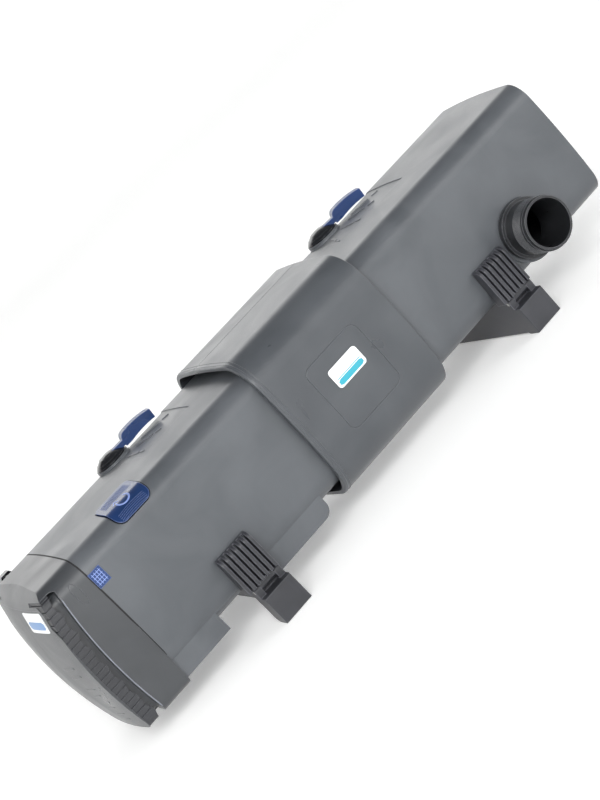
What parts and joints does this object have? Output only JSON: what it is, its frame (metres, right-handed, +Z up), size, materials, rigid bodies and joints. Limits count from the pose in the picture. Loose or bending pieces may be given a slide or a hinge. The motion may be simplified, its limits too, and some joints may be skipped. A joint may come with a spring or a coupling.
{
  "type": "uv clarifier",
  "caption": "Long box-shaped pond UV clarifier with a joining sleeve, threaded water ports, pull-out lamp head, blue bypass levers and clip-on feet.",
  "frame": {"origin": "middle of the overall length and depth, at the floor under the feet", "axes": "+X towards the closed end with the outlet, -Y is the front with the outlet nozzle, +Z up"},
  "size_m": [0.773, 0.294, 0.2168],
  "materials": {
    "vessel_plastic": "fine satin moulded texture, dark grey",
    "sleeve_plastic": "fine satin moulded texture, dark grey",
    "head_plastic": "satin moulded, dark grey",
    "foot_plastic": "satin moulded, dark grey",
    "nozzle_plastic": "satin moulded, near black",
    "blue_plastic": "semi-gloss blue, fine grid texture",
    "black_plastic": "semi-gloss black",
    "seal_rubber": "matte black",
    "grip_rubber": "matte, ribbed",
    "label_film": "blank printed film",
    "quartz": "clear fused quartz",
    "lamp_glass": "clear glass",
    "white_plastic": "white moulded",
    "rotor_plastic": "light grey moulded",
    "stainless": "stainless steel"
  },
  "bodies": {
    "vessel": {"housing_left": "vessel_plastic", "housing_right": "vessel_plastic", "joint_gasket": "seal_rubber", "flange_screws": "stainless", "flange_nuts": "stainless", "centre_sleeve": "sleeve_plastic", "front_label": "label_film", "outlet_nozzle": "nozzle_plastic", "inlet_nozzle": "nozzle_plastic", "outlet_seal": "seal_rubber", "inlet_seal": "seal_rubber", "position_mark": "blue_plastic", "button_spring": "stainless", "rotor_bearing_head_end": "black_plastic", "rotor_bearing_far_end": "black_plastic", "spindle_seal_left": "seal_rubber", "spindle_seal_right": "seal_rubber", "foot_bracket_left": "foot_plastic", "hinge_pins_left": "stainless", "foot_bracket_right": "foot_plastic", "hinge_pins_right": "stainless"},
    "head": {"head_shell": "head_plastic", "end_panel": "head_plastic", "head_label": "label_film", "grip_strip_front": "grip_rubber", "grip_strip_rear": "grip_rubber", "lamp_carrier": "black_plastic", "head_seal": "seal_rubber", "quartz_tube": "quartz", "quartz_seal": "seal_rubber", "quartz_clamp_ring": "black_plastic", "uvc_lamp_tubes": "lamp_glass", "uvc_lamp_base": "white_plastic", "lamp_socket": "white_plastic", "ballast": "black_plastic", "ballast_screws": "stainless", "terminal_block": "black_plastic", "safety_switch": "black_plastic", "cable_gland": "black_plastic"},
    "rotor": {"cleaning_rotor": "rotor_plastic", "wiper_strips": "seal_rubber"},
    "button": {"release_button": "blue_plastic"},
    "lever_left": {"lever_hub_left": "black_plastic", "lever_handle_left": "blue_plastic", "lever_spindle_left": "black_plastic", "bypass_flap_left": "black_plastic"},
    "clip_left_front": {"foot_clip_left_front": "foot_plastic"},
    "clip_left_rear": {"foot_clip_left_rear": "foot_plastic"},
    "lever_right": {"lever_hub_right": "black_plastic", "lever_handle_right": "blue_plastic", "lever_spindle_right": "black_plastic", "bypass_flap_right": "black_plastic"},
    "clip_right_front": {"foot_clip_right_front": "foot_plastic"},
    "clip_right_rear": {"foot_clip_right_rear": "foot_plastic"}
  },
  "joints": [
    {"name": "head_draw", "type": "slide", "parent": "vessel", "child": "head", "axis": [-1, 0, 0], "range_m": [0, 0.57]},
    {"name": "rotor_spin", "type": "hinge", "parent": "vessel", "child": "rotor", "pos_m": [-0.0155, 0, 0.122], "axis": [1, 0, 0], "continuous": true},
    {"name": "button_press", "type": "slide", "parent": "vessel", "child": "button", "axis": [0, 0.7071, -0.7071], "range_m": [0, 0.0015], "stiffness_N_per_m": 1500, "springref_m": -0.001},
    {"name": "lever_left_turn", "type": "hinge", "parent": "vessel", "child": "lever_left", "pos_m": [-0.1815, 0.074, 0.201], "axis": [0, 0, 1], "range_deg": [-84, 6]},
    {"name": "lever_right_turn", "type": "hinge", "parent": "vessel", "child": "lever_right", "pos_m": [0.1685, 0.074, 0.201], "axis": [0, 0, 1], "range_deg": [-75, 15]},
    {"name": "clip_left_front_swing", "type": "hinge", "parent": "vessel", "child": "clip_left_front", "pos_m": [-0.194, -0.104, 0.042], "axis": [1, 0, 0], "range_deg": [0, 35]},
    {"name": "clip_left_rear_swing", "type": "hinge", "parent": "vessel", "child": "clip_left_rear", "pos_m": [-0.194, 0.104, 0.042], "axis": [-1, 0, 0], "range_deg": [0, 35]},
    {"name": "clip_right_front_swing", "type": "hinge", "parent": "vessel", "child": "clip_right_front", "pos_m": [0.218, -0.104, 0.042], "axis": [1, 0, 0], "range_deg": [0, 35]},
    {"name": "clip_right_rear_swing", "type": "hinge", "parent": "vessel", "child": "clip_right_rear", "pos_m": [0.218, 0.104, 0.042], "axis": [-1, 0, 0], "range_deg": [0, 35]}
  ]
}
